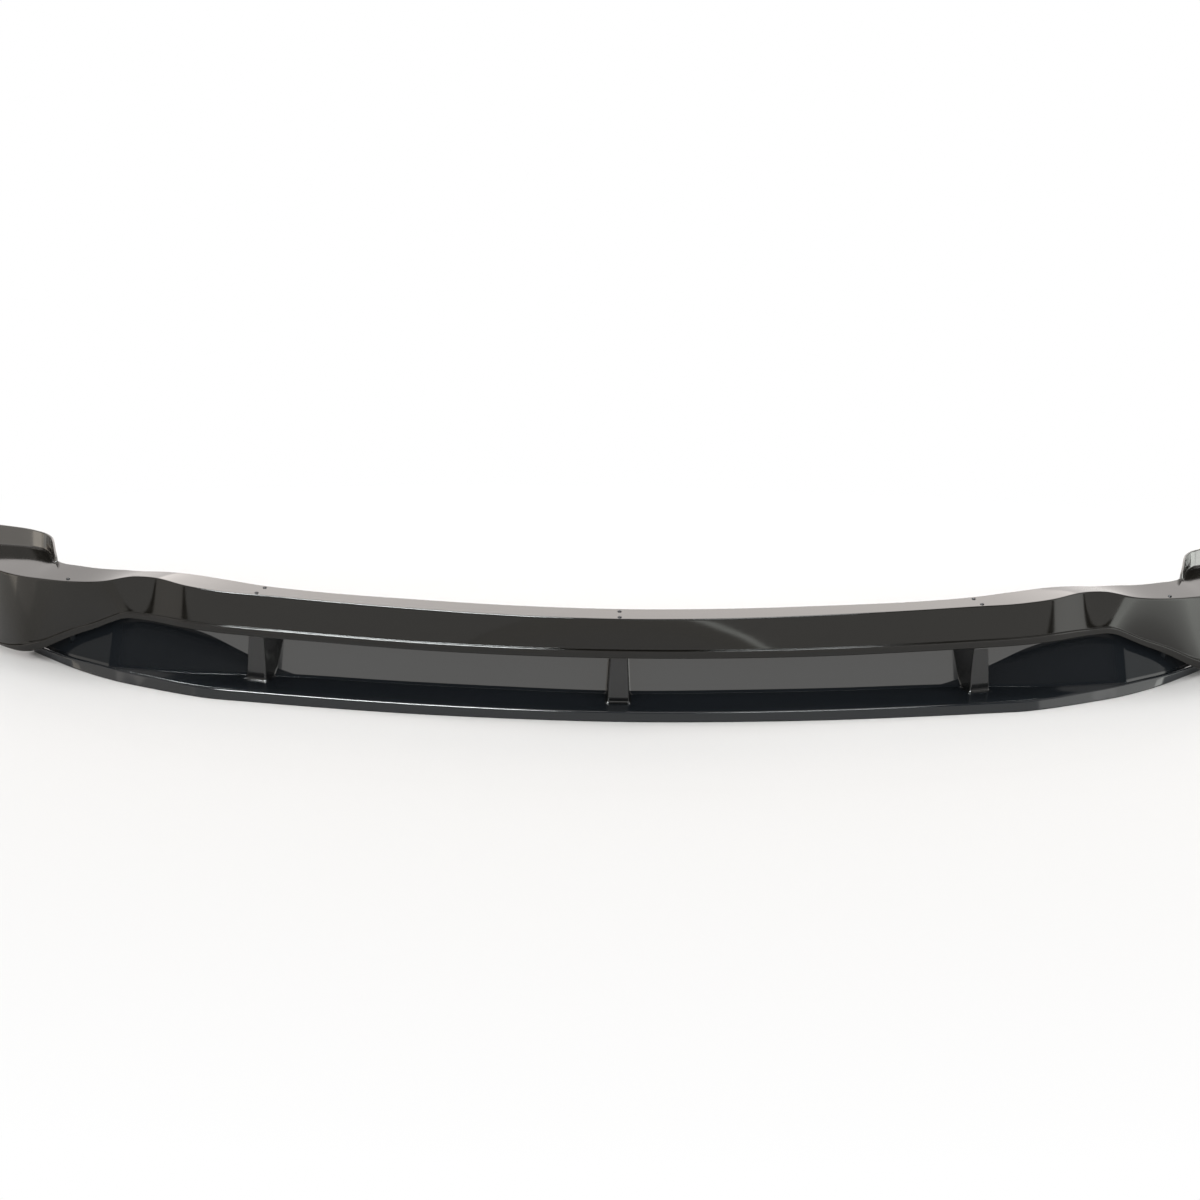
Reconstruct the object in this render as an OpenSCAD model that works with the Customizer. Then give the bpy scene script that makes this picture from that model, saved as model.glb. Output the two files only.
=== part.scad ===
// Two-tier front splitter lip: an upper lip moulding screwed onto a lower splitter tray.
// X runs across the car, Y towards the rear and Z up, in millimetres.
// Both mouldings are lofts of one wall section along X, and each half mirrors the other.

/* [Overall] */
// Half of the width over the two wings
half_w = 850; // [830:5:880]
// Height of the top flange at the centre
lip_h = 111; // [106:1:120]
// Wall of both mouldings
wall = 3; // [2.6:0.1:3.4]

/* [Landmarks across the half width] */
// Distance of the outer fins from the centre
fin_x = 431; // [400:1:450]
// Distance of the raised shoulder from the centre
peak_x = 590; // [575:1:605]
// Distance of the lowest point of the leg from the centre
leg_x = 740; // [730:1:750]
// Half length of the splitter tray
tray_half = 735; // [715:1:738]

/* [Upper lip] */
// Height of the edge over the slot
slot_top = 65; // [60:1:68]
// Height of the bead strip along the lower edge
strip_h = 9.5; // [8:0.5:11]
// Ledge by which the bead strip stands forward of the fascia
ledge = 3; // [1.5:0.5:4]
// Depth of the hem folded back under the strip
hem = 6; // [4:0.5:7]
// Depth of the top flange
flange_d = 37; // [34:1:42]
// Set-back of the fascia's top edge from its bottom edge at the centre
fascia_back = 5.5; // [4:0.5:8]
// Ground clearance of the legs
leg_z = 8; // [6:0.5:11]
// Rise of the shoulder over the top flange
shoulder = 7; // [3:0.5:9]
// Height of the upright rear tabs
tab_h = 20; // [14:1:24]

/* [Lower splitter] */
// Distance by which the tray's front edge runs ahead of the lip at the centre
overhang = 32.6; // [28:0.2:36]
// Height of the rolled front edge
nose_h = 11; // [10:0.5:12]
// Height of the tray floor
floor_z = 8.5; // [7.5:0.5:9.5]
// Depth from the front edge to the foot of the back wall at the centre
floor_d = 67.5; // [64:0.5:72]
// Backward lean of the back wall per millimetre of height
wall_lean = 0.3; // [0.2:0.01:0.6]
// Rise of the end facets per millimetre of depth
facet_rise = 1.38; // [1.2:0.01:1.5]
// Depth of the fixing flange behind the back wall
rim_d = 28; // [24:1:34]

/* [Fins and fixings] */
// Width of a fin's front face at the top
fin_top_w = 19; // [17:0.5:22]
// Width of a fin's front face at the floor
fin_foot_w = 26; // [23:0.5:30]
// Width that an outer fin gains at the wall, on its inner side at the top
fin_spread = 12; // [0:1:14]
// Turn of the outer fins towards the centre line
fin_turn = 15; // [10:1:20]
// Thread core diameter of the screws
screw_d = 3.2; // [2.9:0.1:3.6]
// Screw head diameter
head_d = 5; // [4.8:0.1:6.5]
// Distance between the two screws of a fin
screw_gap = 21; // [18:1:23]
// Distance of a front screw from the fascia's top edge
screw_in = 6.6; // [6.4:0.1:7.5]
// Distance of the outer screws from the centre
outer_screw_x = 675; // [660:1:680]
// Outward offset of an outer fin's screws from its middle
screw_out = 4.5; // [0:0.5:5]
// Holes that bolt the fixing flange to the car
fixing_d = 6.5; // [5.5:0.5:8]
// Distance of the inner fixing holes from the centre
fixing_x1 = 120; // [100:5:150]
// Distance of the middle fixing holes from the centre
fixing_x2 = 300; // [250:5:340]
// Distance of the outer fixing holes from the centre
fixing_x3 = 520; // [490:5:540]

/* [Hidden] */

seat = 0.2;             // clearance where the fins carry the lip
head_seat = 0.05;       // clearance under a screw head
screw_l = 14;           // screw length under the head
head_h = 1;
recess = 0.6;           // depth of the cross recess in a screw head
hole_play = 0.8;        // clearance hole over the screw diameter
pilot_play = 0.3;       // pilot bore over the thread core
pilot_l = 15;
boss_w = 9.6;           // width of the screw bosses inside the lip
boss_behind = 5;        // boss material behind the rear screw
face_gap = 4;           // fin face behind the strip's front
corner_r = 2.5;         // round of the fascia's top edge
crown = 0.8;            // outward crown of the fascia
fillet = 4;             // fillet between a fin and the back wall
flare = 2.2;            // fillet at the foot of a fin
fin_deep = 20;          // depth at which a fin meets the back wall, near enough to find the wall there
fin_root = 5.5;         // length by which a fin runs through the back wall
rim_gap = 1;            // top of the back wall under the lip's lower edge
black = [0.07, 0.07, 0.07];
steel = [0.13, 0.13, 0.14];

// A landmark number u becomes a distance x: 0 centre, 1 outer fin, 2 shoulder, 3 leg, 4 wing end.
MARKS = [0, fin_x, peak_x, leg_x, half_w];
function mark_x(u) = let (i = min(3, floor(u))) MARKS[i] + (u - i) * (MARKS[i + 1] - MARKS[i]);
function rail_of(list, base = 0, k = 1) = [for (p = list) [mark_x(p[0]), base + k * p[1]]];

// A rail is a smooth cubic curve through its stations, level at the centre line, on a flat and at a summit.
function find(t, x, i = 0) = i >= len(t) - 2 || x < t[i + 1][0] ? i : find(t, x, i + 1);
function chord(t, i) = (t[i + 1][1] - t[i][1]) / (t[i + 1][0] - t[i][0]);
function tangent(t, i) = i == 0 ? 0 : i == len(t) - 1 ? chord(t, i - 1) :
    chord(t, i - 1) * chord(t, i) <= 0 ? 0 :
    let (a = t[i][0] - t[i - 1][0], b = t[i + 1][0] - t[i][0])
    (chord(t, i - 1) * b + chord(t, i) * a) / (a + b);
function rail(t, sx) = let (x = abs(sx), i = find(t, x), h = t[i + 1][0] - t[i][0], s = (x - t[i][0]) / h)
    (1 + 2 * s) * (1 - s) * (1 - s) * t[i][1] + s * (1 - s) * (1 - s) * h * tangent(t, i)
    + s * s * (3 - 2 * s) * t[i + 1][1] - s * s * (1 - s) * h * tangent(t, i + 1);
function steep(t, x) = let (a = max(1, abs(x))) (rail(t, a + 1) - rail(t, a - 1)) / 2;

// Plan rails, from the tray's front edge at the centre.
lip_y0 = overhang;
LIP_Y = rail_of([[0, 0], [0.28, 4.8], [0.56, 18.3], [0.84, 41], [1, 55.5], [1.31, 67], [1.56, 79.5],
                 [1.81, 96.5], [2.07, 109.5], [2.33, 121.5], [2.6, 131.5], [2.87, 139.5], [3, 144.5],
                 [3.18, 156], [3.33, 168], [3.66, 205], [4, 252]], lip_y0);
TOP_Y = rail_of([[0, 0], [0.28, 7.5], [0.56, 27], [0.84, 52.5], [1, 69], [1.31, 78.5], [1.56, 90],
                 [1.81, 108], [2, 113.5], [2.2, 116.5], [2.33, 121], [2.47, 127], [2.6, 134], [2.8, 148],
                 [3, 162], [3.18, 174], [3.33, 186], [3.66, 221], [4, 266]], lip_y0 + fascia_back);
REAR_Y = rail_of([[0, 0], [0.28, 7], [0.56, 24.5], [0.84, 48], [1, 69], [1.31, 91], [1.56, 106.5],
                  [1.81, 113.5], [2, 114], [2.2, 125], [2.47, 142], [2.6, 152.5], [2.73, 164], [2.83, 180],
                  [2.92, 213], [3.01, 232], [3.18, 246], [3.6, 267], [4, 282]],
                 lip_y0 + fascia_back + flange_d);
NOSE_Y = rail_of([[0, 0], [0.28, 5], [0.56, 17], [0.84, 34], [1, 46], [1.31, 55], [1.56, 69], [1.81, 87.5],
                  [2.07, 107.5], [2.33, 129.5], [2.6, 153], [2.73, 167.5], [2.87, 184], [3, 201]], 3.5);
FRONT_Y = rail_of([[0, 0], [0.28, 4.5], [0.56, 15], [0.84, 32], [1, 43.5], [1.31, 52.5], [1.56, 66.5],
                   [1.81, 83], [2.07, 101.5], [2.33, 125], [2.6, 154.5], [2.73, 171], [2.87, 188.5],
                   [3, 206]]);
WALL_Y = rail_of([[0, 0], [0.33, 9], [0.6, 20.5], [0.9, 37.5], [1.15, 52], [1.56, 64], [2, 80],
                  [3, 113]], floor_d);
FACET_Y = rail_of([[0, 0], [0.33, 9], [0.6, 20.5], [0.9, 37.5], [1.12, 43], [1.465, 44.5], [2, 58],
                   [3, 91]], floor_d);

// Height rails.
LIP_Z = rail_of([[0, 1], [1.1, 1], [1.56, 1.02], [1.87, 1.045], [2.07, 1.02], [2.2, 0.87], [2.33, 0.71],
                 [2.47, 0.56], [2.6, 0.41], [2.73, 0.24], [2.87, 0.08], [3, 0.015], [3.2, 0], [4, 0]],
                leg_z, slot_top - leg_z);
TOP_Z = rail_of([[0, 0], [1.1, 0], [1.35, 0.2], [1.56, 0.5], [1.81, 1], [1.94, 1], [2.07, 0.57],
                 [2.2, -0.14], [2.33, -0.57], [2.47, -0.86], [2.73, -1.28], [3, -1.57], [3.33, -1.71],
                 [4, -2]], lip_h, shoulder);
REAR_Z = rail_of([[0, 0], [1.31, 0], [1.81, 0.2], [2, 0.25], [2.33, -0.28], [2.6, -0.57], [2.83, -0.86],
                  [3.2, -1], [4, -1.7]], lip_h, shoulder);
STRIP_H = rail_of([[0, 1], [1.56, 1], [1.9, 0.82], [2.33, 0.82], [2.6, 1], [2.87, 1.1], [3, 0.95],
                   [3.18, 0.55], [3.33, 0.32], [4, 0.32]], 0, strip_h);

// Depth of the whole part, which centres the origin.
depth = rail(REAR_Y, half_w);

// Stations of the two lofts, closer where the rails bend.
function steps(a, b, n) = [for (i = [0 : n - 1]) a + (b - a) * i / n];
LIP_HALF = concat(steps(0, fin_x, 9), steps(fin_x, mark_x(1.56), 4), steps(mark_x(1.56), mark_x(2.4), 10),
                  steps(mark_x(2.4), mark_x(2.8), 5), steps(mark_x(2.8), mark_x(3.35), 9),
                  steps(mark_x(3.35), half_w, 4), [half_w]);
TRAY_HALF = concat(steps(0, fin_x, 8), steps(fin_x, mark_x(1.56), 5), steps(mark_x(1.56), mark_x(2.4), 8),
                   steps(mark_x(2.4), tray_half, 8), [tray_half]);
function both(half) = concat([for (i = [len(half) - 1 : -1 : 1]) -half[i]], half);

// One closed solid through sections that all have the same number of [y, z] points.
// The ends are closed by the given faces, or by one face where the section is nearly convex.
module loft(xs, sections, ends = []) {
    n = len(sections[0]);
    m = len(xs);
    last = (m - 1) * n;
    closing = len(ends) > 0 ? ends : [[for (i = [0 : n - 1]) i]];
    points = [for (j = [0 : m - 1]) for (p = sections[j]) [xs[j], p[0], p[1]]];
    sides = [for (j = [0 : m - 2]) for (i = [0 : n - 1])
        let (a = j * n + i, b = j * n + (i + 1) % n, c = a + n, d = b + n)
        each [[a, b, c], [b, d, c]]];
    caps = [for (f = closing) each [[for (i = [len(f) - 1 : -1 : 0]) f[i]], [for (i = f) last + i]]];
    polyhedron(points, concat(sides, caps));
}

function unit(v) = v / norm(v);

// Wall section of the upper lip: hem, bead strip, fascia and top flange.
function lip_section(x) =
    let (ys = rail(LIP_Y, x), zs = rail(LIP_Z, x), t = [rail(TOP_Y, x), rail(TOP_Z, x)],
         r = [rail(REAR_Y, x), rail(REAR_Z, x)], hs = rail(STRIP_H, x), k = wall * sqrt(1 + pow(steep(TOP_Y, x), 2)),
         foot = [ys + ledge * hs / strip_h, zs + hs + 0.4], up = unit(t - foot), back = unit(r - t),
         in_foot = foot + [k, 0], in_top = [t[0] + k - wall * up[0] / up[1], t[1] - wall],
         in_strip = zs + max(hs - 1.5, wall + 0.2))
    [[ys + k + hem, zs], [ys + 1.2, zs], [ys + 0.3, zs + 0.3], [ys, zs + 1.2], [ys, zs + hs - 0.6],
     [ys + 0.5, zs + hs], foot, foot * 2 / 3 + t / 3 - [crown, 0], foot / 3 + t * 2 / 3 - [crown, 0],
     t - corner_r * up, t + 0.29 * corner_r * (back - up), t + corner_r * back,
     r, r - [0, wall], in_top, in_foot / 3 + in_top * 2 / 3 - [crown, 0],
     in_foot * 2 / 3 + in_top / 3 - [crown, 0], in_foot, [ys + k, in_strip], [ys + k, zs + wall],
     [ys + k + hem, zs + wall]];

// Convex pieces of the lip's open wall section, which close its two ends.
LIP_ENDS = [[0, 1, 19, 20], [1, 2, 3, 19], [3, 4, 18, 19], [4, 5, 18], [5, 6, 17, 18], [6, 7, 16, 17],
            [7, 8, 15, 16], [8, 9, 14, 15], [9, 10, 11, 14], [11, 12, 13, 14]];

// Upright tab at the rear of a wing, its foot filleted into the flange.
TAB_START = 2.82;
function tab_height(x) = let (s = min(1, (x - mark_x(TAB_START)) / 22)) tab_h * (0.12 + 0.88 * sqrt(1 - pow(1 - s, 2)))
    * (1 + 0.3 * (x - leg_x) / (half_w - leg_x));
function tab_section(x) =
    let (y = rail(REAR_Y, x), z = rail(REAR_Z, x), k = wall * sqrt(1 + pow(min(2, steep(REAR_Y, x)), 2)), h = tab_height(x))
    [[y, z - 1.5], [y - k - 4, z - 1.5], [y - k - 4, z - 0.4], [y - k - 1.4, z + 0.1 * h],
     [y - k, z + 0.3 * h], [y - k, z + h - 0.8], [y - k + 0.8, z + h], [y - 0.8, z + h], [y, z + h - 0.8]];
module tab() {
    xs = concat(steps(mark_x(TAB_START), mark_x(3.05), 8), steps(mark_x(3.05), half_w, 6), [half_w]);
    loft(xs, [for (x = xs) tab_section(x)]);
}

// Section of the tray: rolled front edge, floor, end facet, back wall and fixing flange.
function rim_height(x) = max(floor_z + 4, rail(LIP_Z, x) - rim_gap);
function facet_foot(x) = max(rail(FACET_Y, x), rail(NOSE_Y, x) + 10);
function facet_top_z(x) = let (gap = rail(WALL_Y, x) - facet_foot(x))
    min(rim_height(x) - 2, floor_z + 3 + max(0, gap / (1 / facet_rise - wall_lean)));
function wall_y(x, z) = facet_foot(x) + (facet_top_z(x) - floor_z) / facet_rise + (z - facet_top_z(x)) * wall_lean;
function rim_depth(x) = rim_d * (1 - 0.7 * pow(max(0, abs(x) - peak_x) / (tray_half - peak_x), 2));
function tray_section(x) =
    let (yf = rail(FRONT_Y, x), yn = rail(NOSE_Y, x), k = wall * sqrt(1 + pow(steep(NOSE_Y, x), 2)),
         ya = facet_foot(x), zb = facet_top_z(x), yb = wall_y(x, zb), zc = rim_height(x), yc = wall_y(x, zc),
         yd = yc + rim_depth(x))
    [[yf + k, 0], [yf + 1, 0], [yf, 1.2], [yf + 0.35 * (yn - yf), nose_h / 2], [yn - 0.6, nose_h - 1.2],
     [yn + 1.2, nose_h], [yn + 4.5, nose_h - 0.4], [yn + 8.5, floor_z], [ya - 1, floor_z + 0.1],
     [ya + 1, floor_z + 1.2], [yb, zb], [yc - 0.6, zc - 1.1], [yc + 0.8, zc], [yd, zc],
     [yd, zc - wall], [yc + k, zc - wall], [min(yb + 1.2 * k, yc + k - 0.2), zb - 1], [ya + k * 0.6, floor_z - wall],
     [yn + 9, floor_z - wall], [yn + k + 0.6, floor_z - wall + 0.8]];

// A fin stands on the floor at distance fx. Local d runs back from its face and w across it.
function fin_face(fx) = rail(LIP_Y, fx) + face_gap;
function fin_half(z) = (fin_foot_w + (fin_top_w - fin_foot_w) * (z - floor_z) / (slot_top - floor_z)) / 2;
function front_y(x, z) = let (top = facet_top_z(x))
    facet_foot(x) + (min(z, top) - floor_z) / facet_rise + max(0, z - top) * wall_lean;
function fin_back(side, w, z) = let (turn = side * fin_turn, x = side * fin_x + w * cos(turn) - fin_deep * sin(turn))
    (front_y(x, z) - fin_face(side * fin_x) - w * sin(turn)) / cos(turn);
function spread(z) = fin_spread * (z - floor_z) / (slot_top - floor_z);
function fin_section(side, z, grow) =
    let (w = fin_half(z) + grow, f = -grow,
         l = -w - max(0, side) * spread(z), r = w + max(0, -side) * spread(z),
         bl = fin_back(side, l - fillet, z) + 0.5, br = fin_back(side, r + fillet, z) + 0.5,
         root = z < floor_z ? 0.5 : fin_root)
    [[l - fillet, bl + root], [l - fillet, bl], [l, bl - fillet], [-w, f + 1.6], [-w + 0.5, f + 0.5], [-w + 1.6, f],
     [w - 1.6, f], [w - 0.5, f + 0.5], [w, f + 1.6], [r, br - fillet], [r + fillet, br],
     [r + fillet, br + root]];
// Stacked level outlines of [x, y] points become one closed solid.
module stack(zs, outlines) {
    n = len(outlines[0]);
    m = len(zs);
    points = [for (j = [0 : m - 1]) for (p = outlines[j]) [p[0], p[1], zs[j]]];
    sides = [for (j = [0 : m - 2]) for (i = [0 : n - 1])
        let (a = j * n + i, b = j * n + (i + 1) % n, c = a + n, d = b + n)
        each [[a, c, b], [b, c, d]]];
    caps = [[for (i = [0 : n - 1]) i], [for (i = [n - 1 : -1 : 0]) (m - 1) * n + i]];
    polyhedron(points, concat(sides, caps));
}
module at_fin(side) {
    translate([side * fin_x, fin_face(side * fin_x), 0]) rotate(side * fin_turn) children();
}
function first_screw(fx) = rail(TOP_Y, fx) + screw_in - fin_face(fx);
module fin(side) {
    fx = side * fin_x;
    zs = [floor_z - 1.3, floor_z + 0.2, floor_z + 0.8, floor_z + 2, floor_z + 4,
          max(floor_z + 6, facet_top_z(fx)), slot_top - seat];
    grows = [1, 1, 0.55, 0.2, 0, 0, 0];
    boss_top = lip_h - wall - seat;
    front_low = wall + hem + 0.5 - face_gap;
    front_high = first_screw(fx) - screw_in + wall * sqrt(1 + pow(steep(TOP_Y, fx), 2)) + 0.4;
    rear = first_screw(fx) + screw_gap + boss_behind;
    w = boss_w / 2;
    out = side * screw_out;
    at_fin(side) difference() {
        union() {
            stack(zs, [for (i = [0 : len(zs) - 1]) fin_section(side, zs[i], flare * grows[i])]);
            stack([slot_top - 4, slot_top + 6, boss_top],
                  [for (f = [front_low, front_low + 1, front_high])
                      [[out - w, rear], [out - w, f], [out + w, f], [out + w, rear]]]);
        }
        for (d = [first_screw(fx), first_screw(fx) + screw_gap])
            translate([out, d, boss_top - pilot_l]) cylinder(d = screw_d + pilot_play, h = pilot_l + 1, $fn = 32);
    }
}

// Outer bosses rise from the end facets to the lip's flange.
outer_boss_d = 9;
function outer_screw_y() = rail(TOP_Y, outer_screw_x) + wall * sqrt(1 + pow(steep(TOP_Y, outer_screw_x), 2))
    + outer_boss_d / 2 + 0.5;
function flange_z(x, y) = let (a = rail(TOP_Y, x), b = rail(REAR_Y, x))
    rail(TOP_Z, x) + (rail(REAR_Z, x) - rail(TOP_Z, x)) * (y - a) / (b - a);
outer_top = flange_z(outer_screw_x, outer_screw_y());
module outer_boss(side) {
    foot = rim_height(outer_screw_x) - wall / 2;
    top = outer_top - wall - 2 * seat;
    translate([side * outer_screw_x, outer_screw_y(), 0]) difference() {
        translate([0, 0, foot]) cylinder(d = outer_boss_d, h = top - foot, $fn = 40);
        translate([0, 0, top - pilot_l]) cylinder(d = screw_d + pilot_play, h = pilot_l + 1, $fn = 32);
    }
}

// Plan positions of the car's fixing holes in the rear flange.
function fixing_y(x) = wall_y(x, rim_height(x)) + 0.55 * rim_depth(x);

module centred() {
    translate([0, -depth / 2, 0]) children();
}

module upper_lip() {
    xs = both(LIP_HALF);
    color(black) centred() difference() {
        union() {
            loft(xs, [for (x = xs) lip_section(x)], LIP_ENDS);
            tab();
            mirror([1, 0, 0]) tab();
        }
        for (side = [-1, 0, 1]) at_fin(side) for (d = [0, screw_gap])
            translate([side * screw_out, first_screw(side * fin_x) + d, lip_h - wall - 1])
                cylinder(d = screw_d + hole_play, h = wall + 2, $fn = 32);
        for (side = [-1, 1]) translate([side * outer_screw_x, outer_screw_y(), outer_top - wall - 2])
            cylinder(d = screw_d + hole_play, h = wall + 4, $fn = 32);
    }
}

module lower_splitter() {
    xs = both(TRAY_HALF);
    color(black) centred() difference() {
        union() {
            loft(xs, [for (x = xs) tray_section(x)]);
            for (side = [-1, 0, 1]) fin(side);
            for (side = [-1, 1]) outer_boss(side);
        }
        for (x = [-fixing_x3, -fixing_x2, -fixing_x1, fixing_x1, fixing_x2, fixing_x3])
            translate([x, fixing_y(x), rim_height(x) - wall - 1]) cylinder(d = fixing_d, h = wall + 2, $fn = 48);
    }
}

// Self-tapping screw with its head's underside at the origin and a cross recess.
module screw() {
    color(steel) difference() {
        union() {
            cylinder(d1 = head_d, d2 = head_d - 1.2, h = head_h, $fn = 40);
            translate([0, 0, -screw_l]) cylinder(d = screw_d, h = screw_l + 0.5, $fn = 32);
        }
        for (a = [0, 90]) rotate(a) translate([-1.2, -0.3, head_h - recess]) cube([2.4, 0.6, 2 * recess]);
    }
}
module fin_screw(side, row) {
    centred() at_fin(side)
        translate([side * screw_out, first_screw(side * fin_x) + row * screw_gap, lip_h + head_seat]) screw();
}
module outer_screw(side) {
    centred() translate([side * outer_screw_x, outer_screw_y(), outer_top + 4 * head_seat]) screw();
}

upper_lip();
lower_splitter();
fin_screw(0, 0);  // screw_centre_front
fin_screw(0, 1);  // screw_centre_rear
fin_screw(-1, 0);  // screw_left_front
fin_screw(-1, 1);  // screw_left_rear
fin_screw(1, 0);  // screw_right_front
fin_screw(1, 1);  // screw_right_rear
outer_screw(-1);  // screw_left_outer
outer_screw(1);  // screw_right_outer
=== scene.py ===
"""Gloss black two-tier front splitter lip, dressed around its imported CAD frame.

Lengths in the classes are millimetres from the middle of the part, as a moulding drawing
gives them, and meshes are written in metres. +X runs across the car, -Y towards the road
ahead and +Z up. Both mouldings are one closed wall section carried along X.
"""

import logging
import math
from dataclasses import dataclass, field
from enum import Enum

import bpy
import numpy as np
from mathutils import Matrix, Vector

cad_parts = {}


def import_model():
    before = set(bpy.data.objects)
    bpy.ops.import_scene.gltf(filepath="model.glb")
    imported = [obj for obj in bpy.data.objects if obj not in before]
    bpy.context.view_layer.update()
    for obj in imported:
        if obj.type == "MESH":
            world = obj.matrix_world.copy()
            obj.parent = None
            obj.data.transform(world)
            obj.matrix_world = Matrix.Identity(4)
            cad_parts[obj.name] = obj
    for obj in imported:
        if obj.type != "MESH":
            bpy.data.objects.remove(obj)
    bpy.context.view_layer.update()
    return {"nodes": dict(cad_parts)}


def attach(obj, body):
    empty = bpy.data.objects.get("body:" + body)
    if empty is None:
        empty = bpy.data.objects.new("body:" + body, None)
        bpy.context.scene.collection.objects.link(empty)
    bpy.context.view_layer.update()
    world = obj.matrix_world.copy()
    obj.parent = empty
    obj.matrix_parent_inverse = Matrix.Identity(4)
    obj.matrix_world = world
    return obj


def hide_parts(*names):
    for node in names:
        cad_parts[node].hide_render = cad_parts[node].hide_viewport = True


Array = np.ndarray
Stations = tuple[tuple[float, float], ...]
LOG = logging.getLogger("front_splitter_lip")
MM = 0.001
BODY = "root"


# Rails: landmark curves across the width


@dataclass(frozen=True)
class Marks:
    """Landmarks across the half width, in millimetres from the centre line."""

    fin: float = 431.0
    shoulder: float = 590.0
    leg: float = 740.0
    end: float = 850.0

    def distance(self, number: float | Array) -> Array:
        """Turns a landmark number (0 centre, 1 fin, 2 shoulder, 3 leg, 4 end) into a distance."""
        return np.interp(number, range(5), (0.0, self.fin, self.shoulder, self.leg, self.end))


MARKS = Marks()


@dataclass(frozen=True)
class Rail:
    """A smooth even function of the distance from the centre line.

    A piecewise cubic passes through the stations, level at the centre, on a flat and at a
    summit. A running average with a bell-shaped weight then evens out its curvature, so
    that gloss reflections flow along it.
    """

    stations: Stations
    base: float = 0.0
    scale: float = 1.0
    ease: float = 7.0
    table: dict[str, Array] = field(default_factory=dict)

    def cubic(self, x: Array) -> Array:
        """The piecewise cubic before easing.

        Args:
            x: distances from the centre line, 0 or more.

        Returns:
            The rail's values: h00 y0 + h10 h m0 + h01 y1 + h11 h m1 between two stations,
            with m the mean of the two chords weighted towards the nearer station.
        """
        u, v = np.array(self.stations).T
        t, v = MARKS.distance(u), self.base + self.scale * v
        gap = np.diff(t)
        chord = np.diff(v) / gap
        mean = (chord[:-1] * gap[1:] + chord[1:] * gap[:-1]) / (gap[:-1] + gap[1:])
        mean = np.where(chord[:-1] * chord[1:] <= 0, 0.0, mean)
        slope = np.concatenate([[0.0], mean, [chord[-1]]])
        i = np.clip(np.searchsorted(t, x, side="right") - 1, 0, len(t) - 2)
        h = gap[i]
        s = np.minimum((x - t[i]) / h, 1.0)
        beyond = np.maximum(x - t[-1], 0.0) * slope[-1]
        return (
            (1 + 2 * s) * (1 - s) ** 2 * v[i]
            + s * (1 - s) ** 2 * h * slope[i]
            + s * s * (3 - 2 * s) * v[i + 1]
            - s * s * (1 - s) * h * slope[i + 1]
            + beyond
        )

    def at(self, x: Array) -> Array:
        """The eased rail at signed distances x."""
        if "x" not in self.table:
            reach = 4 * self.ease
            grid = np.arange(-reach, MARKS.end + reach + 1.0)
            bell = np.exp(-0.5 * (np.arange(-int(reach), int(reach) + 1) / self.ease) ** 2)
            wide = np.arange(grid[0] - int(reach), grid[-1] + int(reach) + 1)
            self.table["x"] = grid
            self.table["v"] = np.convolve(self.cubic(np.abs(wide)), bell / bell.sum(), "valid")
        return np.interp(np.abs(x), self.table["x"], self.table["v"])

    def steep(self, x: Array) -> Array:
        """Slope of the rail over 6 mm at signed distances x, as if x were positive."""
        a = np.maximum(np.abs(x), 3.0)
        return (self.at(a + 3.0) - self.at(a - 3.0)) / 6.0


# Surfaces: section outlines, lofts and stacks


def rounded_loop(corners: Array, radii: Array, bulge: Array, arc: int = 6, run: int = 6) -> Array:
    """Closed section outlines with circular corners and slightly crowned sides.

    Each side is a parabola through its two corners, whose control point stands off the
    middle by twice the bulge, to the left of the direction of travel. Each corner is a
    circular arc tangent to its two sides: a rational parabola with the weight sin(a / 2),
    a being the angle between the sides. Points close to the arcs hold the shading of the
    sides straight.

    Args:
        corners: corner points of each section, shape (sections, corners, 2).
        radii: corner radii, broadcast to (sections, corners).
        bulge: crown of the side that leaves each corner, broadcast likewise.
        arc: points on each corner.
        run: points on each side, an even number.

    Returns:
        Outline points, shape (sections, corners * (arc + run), 2), starting in the middle
        of the side before the first corner.
    """
    m, k, _ = corners.shape
    radii, bulge = np.broadcast_to(radii, (m, k)), np.broadcast_to(bulge, (m, k))
    after = np.roll(corners, -1, axis=1)
    side = after - corners
    length = np.linalg.norm(side, axis=2, keepdims=True)
    left = np.stack([-side[..., 1], side[..., 0]], axis=2) / length
    control = (corners + after) / 2 + 2 * bulge[..., None] * left
    ahead = control - corners
    behind = np.roll(control, 1, axis=1) - corners
    len_a, len_b = np.linalg.norm(ahead, axis=2), np.linalg.norm(behind, axis=2)
    ahead, behind = ahead / len_a[..., None], behind / len_b[..., None]
    angle = np.arccos(np.clip((ahead * behind).sum(axis=2), -0.9999, 0.9999))
    reach = np.minimum(radii / np.tan(angle / 2), 0.92 * np.minimum(len_a, len_b))
    start, stop = corners + reach[..., None] * behind, corners + reach[..., None] * ahead
    t = np.linspace(0, 1, arc)[:, None]
    w = np.sin(angle / 2)[..., None, None]
    a, b, c = (1 - t) ** 2, 2 * t * (1 - t) * w, t**2
    bend = (a * start[:, :, None] + b * corners[:, :, None] + c * stop[:, :, None]) / (a + b + c)
    s = np.concatenate([[0.02], np.linspace(0.1, 0.9, run - 2), [0.98]])[:, None]
    ends = np.roll(start, -1, axis=1)[:, :, None]
    flow = (1 - s) ** 2 * stop[:, :, None] + 2 * s * (1 - s) * control[:, :, None] + s * s * ends
    loop = np.concatenate([bend, flow], axis=2).reshape(m, k * (arc + run), 2)
    return np.roll(loop, run // 2, axis=1)


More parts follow.
